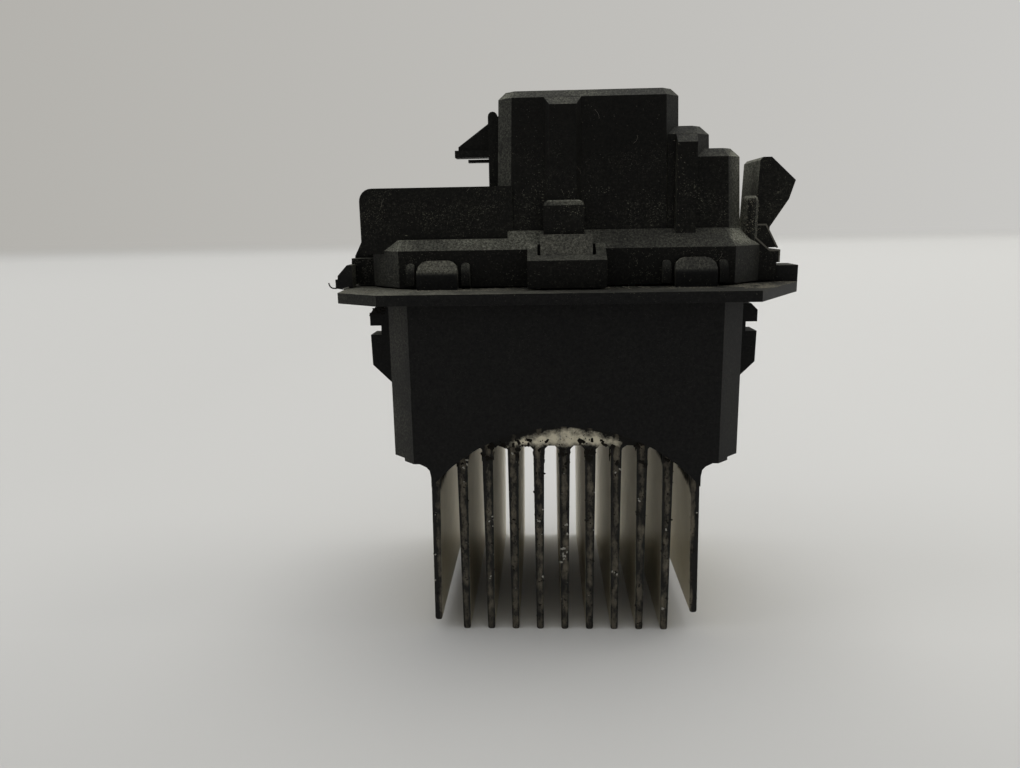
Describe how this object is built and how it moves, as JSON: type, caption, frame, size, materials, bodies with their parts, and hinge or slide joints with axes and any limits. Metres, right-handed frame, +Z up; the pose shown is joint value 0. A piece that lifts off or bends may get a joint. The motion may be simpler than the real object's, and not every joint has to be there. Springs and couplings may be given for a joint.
{
  "type": "blower motor resistor",
  "caption": "Electronic blower speed regulator: die-cast finned heat sink under a flanged plastic housing with a stepped cover, plug sockets and a latch hook.",
  "frame": {"origin": "on the tip of the middle fin, at the middle of the heat sink's depth, on the surface the fins stand on", "axes": "+Z up from the fin tips to the plug sockets, +Y to the back, +X to the right when the side with the snap pocket is seen from the front"},
  "size_m": [0.0743, 0.0464, 0.0849],
  "materials": {
    "cast_aluminium": "die-cast, dull, with dust and white oxide",
    "housing_nylon": "glass-filled nylon, moulded, fine grain",
    "cover_nylon": "glass-filled nylon, moulded, dusty",
    "silicone_grey": "soft silicone",
    "board_green": "glass-epoxy laminate with green lacquer",
    "epoxy_black": "moulded epoxy",
    "spring_steel": "rolled strip",
    "zinc_steel": "zinc plated",
    "tinned_brass": "stamped and tin plated",
    "copper": "bare metal",
    "ferrite": "pressed and fired",
    "sleeve": "shrunk plastic sleeve"
  },
  "bodies": {
    "root": {"heat_sink": "cast_aluminium", "lower_housing": "housing_nylon", "upper_cover": "cover_nylon", "sealing_bead": "silicone_grey", "circuit_board": "board_green", "board_screw_1": "zinc_steel", "board_screw_2": "zinc_steel", "board_screw_3": "zinc_steel", "board_screw_4": "zinc_steel", "clip_screw": "zinc_steel", "transistor_1": "epoxy_black", "transistor_2": "epoxy_black", "thermal_pad_1": "silicone_grey", "thermal_pad_2": "silicone_grey", "transistor_clip": "spring_steel", "capacitor": "sleeve", "choke_core": "ferrite", "choke_winding": "copper", "driver_chip": "epoxy_black", "suppressor_diode": "epoxy_black", "shunt": "copper", "motor_blade_1": "tinned_brass", "motor_blade_2": "tinned_brass", "supply_blade_1": "tinned_brass", "supply_blade_2": "tinned_brass", "signal_pin_1": "tinned_brass", "signal_pin_2": "tinned_brass", "signal_pin_3": "tinned_brass"}
  },
  "joints": []
}
